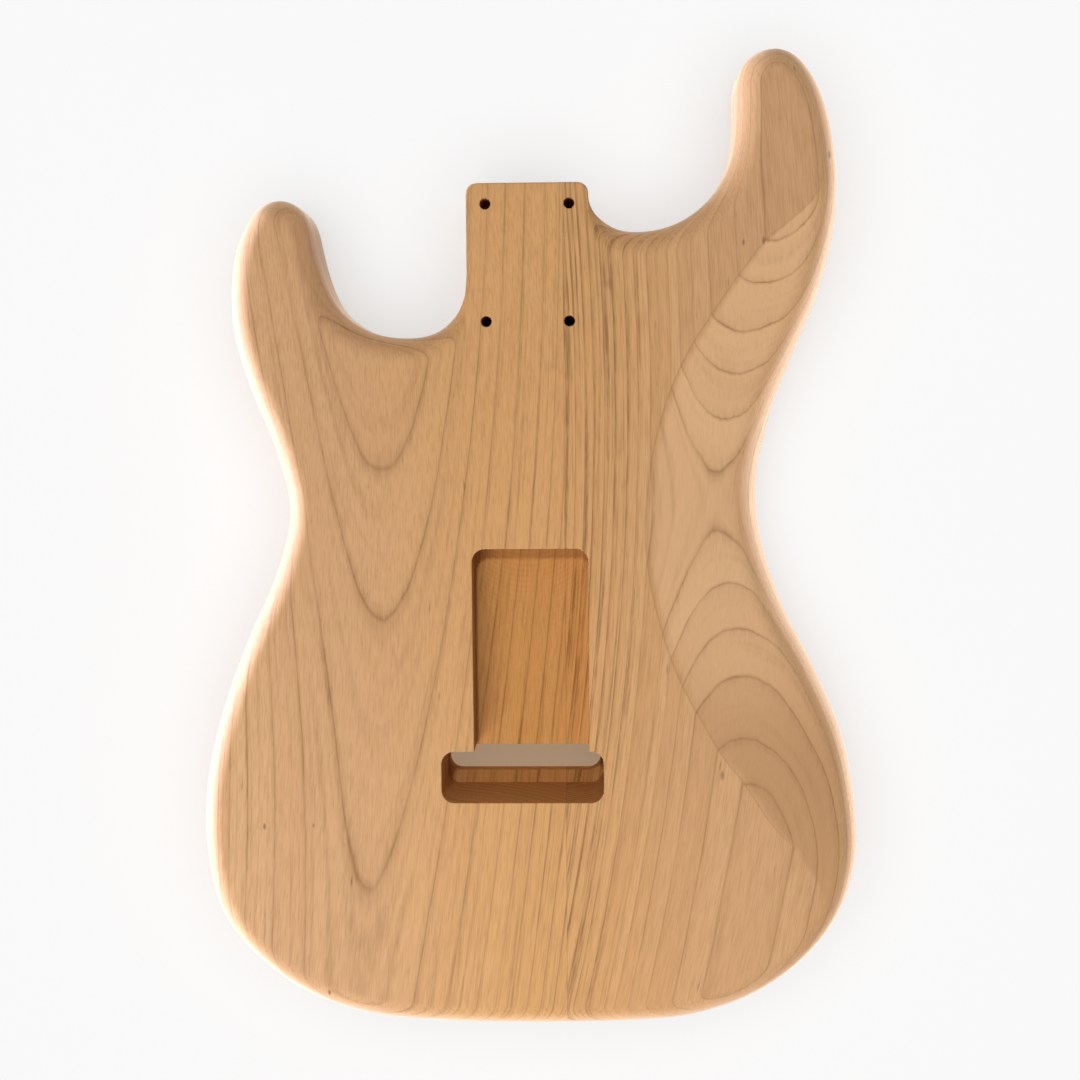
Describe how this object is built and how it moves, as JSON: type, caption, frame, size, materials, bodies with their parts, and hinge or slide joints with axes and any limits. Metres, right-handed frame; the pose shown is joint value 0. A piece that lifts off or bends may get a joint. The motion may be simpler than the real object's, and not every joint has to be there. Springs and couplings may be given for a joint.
{
  "type": "electric guitar body",
  "caption": "Bare alder electric guitar body with two cutaways, made of edge-glued boards, with neck pocket, tremolo, pickup and control cavities, and belly and forearm contours.",
  "frame": {"origin": "under the middle of the body's length and width, on its front face, which it lies on", "axes": "+Z out of the back, which faces up; +Y from the tail to the neck; +X to the bass side, which has the long horn"},
  "size_m": [0.3205, 0.47, 0.045],
  "materials": {
    "treble_alder": "bare, sanded",
    "bass_alder": "bare, sanded"
  },
  "bodies": {
    "root": {"treble_board": "treble_alder", "bass_board": "bass_alder"}
  },
  "joints": []
}
